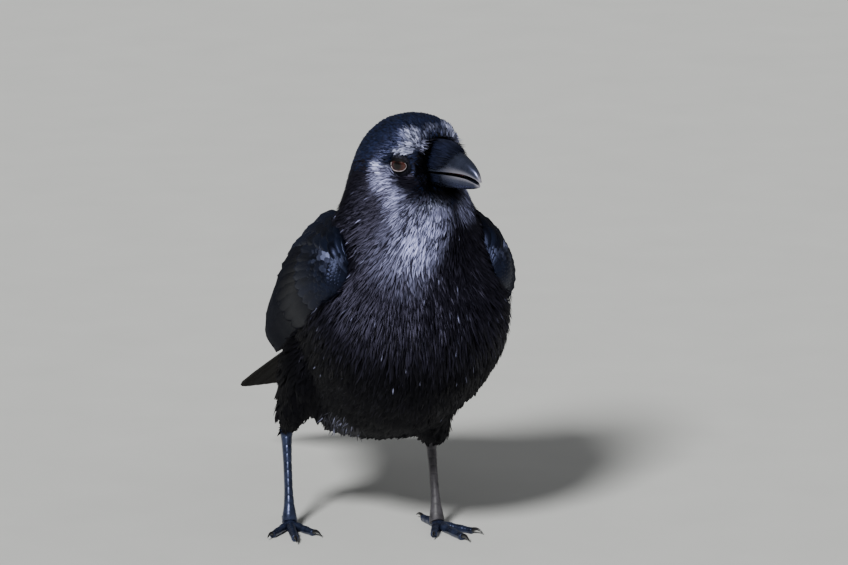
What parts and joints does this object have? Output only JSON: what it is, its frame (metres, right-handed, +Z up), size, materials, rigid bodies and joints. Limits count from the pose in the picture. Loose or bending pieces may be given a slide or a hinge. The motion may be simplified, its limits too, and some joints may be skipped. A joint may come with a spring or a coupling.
{
  "type": "standing crow",
  "caption": "Life-size all-black crow standing on both feet, wings folded, head turned to its left with the bill slightly open.",
  "frame": {"origin": "on the ground, under the middle of the whole crow's box", "axes": "+Z up, the crow's body faces -Y, its left side is +X, its tail points to +Y and its head is turned towards +X"},
  "size_m": [0.1584, 0.3428, 0.2923],
  "materials": {
    "plumage": "soft body feathers, near black with a faint violet-blue gloss",
    "flight_feather": "smooth glossy blue-black flight feathers",
    "bill": "smooth dark grey horn with a satin shine",
    "leg_skin": "black scaled skin with a satin shine",
    "claw": "polished black horn",
    "eye": "wet dark brown",
    "tongue": "wet pink-grey"
  },
  "bodies": {
    "root": {"trunk": "plumage", "neck": "plumage", "head": "plumage", "bill_upper": "bill", "bill_lower": "bill", "tongue": "tongue", "tail": "flight_feather", "eye_left": "eye", "wing_left": "flight_feather", "primaries_left": "flight_feather", "thigh_left": "plumage", "shank_left": "leg_skin", "toe_middle_left": "leg_skin", "claw_middle_left": "claw", "toe_inner_left": "leg_skin", "claw_inner_left": "claw", "toe_outer_left": "leg_skin", "claw_outer_left": "claw", "toe_hind_left": "leg_skin", "claw_hind_left": "claw", "eye_right": "eye", "wing_right": "flight_feather", "primaries_right": "flight_feather", "thigh_right": "plumage", "shank_right": "leg_skin", "toe_middle_right": "leg_skin", "claw_middle_right": "claw", "toe_inner_right": "leg_skin", "claw_inner_right": "claw", "toe_outer_right": "leg_skin", "claw_outer_right": "claw", "toe_hind_right": "leg_skin", "claw_hind_right": "claw"}
  },
  "joints": []
}
